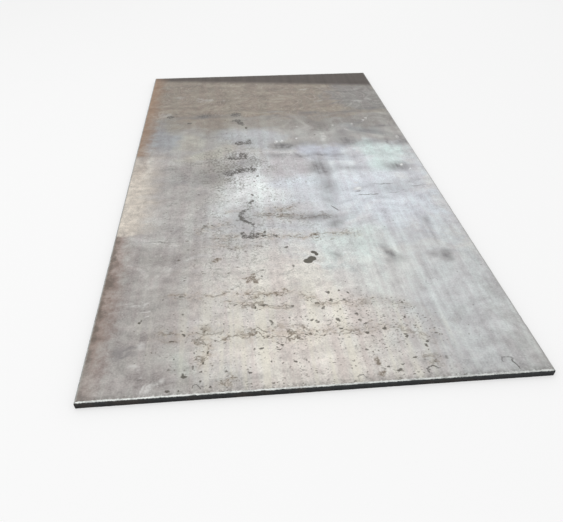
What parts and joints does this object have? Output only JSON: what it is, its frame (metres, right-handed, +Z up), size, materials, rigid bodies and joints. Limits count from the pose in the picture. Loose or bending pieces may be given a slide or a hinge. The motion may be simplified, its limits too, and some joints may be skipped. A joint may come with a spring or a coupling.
{
  "type": "steel plate",
  "caption": "Flat rectangular hot-rolled steel plate with sheared edges, weathered mill scale and rust stains, used as raw stock for cutting and welding.",
  "frame": {"origin": "middle of the underside, on the surface that the plate lies on", "axes": "+Y along the plate's length, which is the rolling direction; +X across its width; +Z up through its thickness"},
  "size_m": [1.5, 3, 0.025],
  "materials": {
    "hot_rolled_steel": "hot-rolled mill scale, worn and dusty, with rust stains and dark sheared edges"
  },
  "bodies": {
    "root": {"steel_plate": "hot_rolled_steel"}
  },
  "joints": []
}
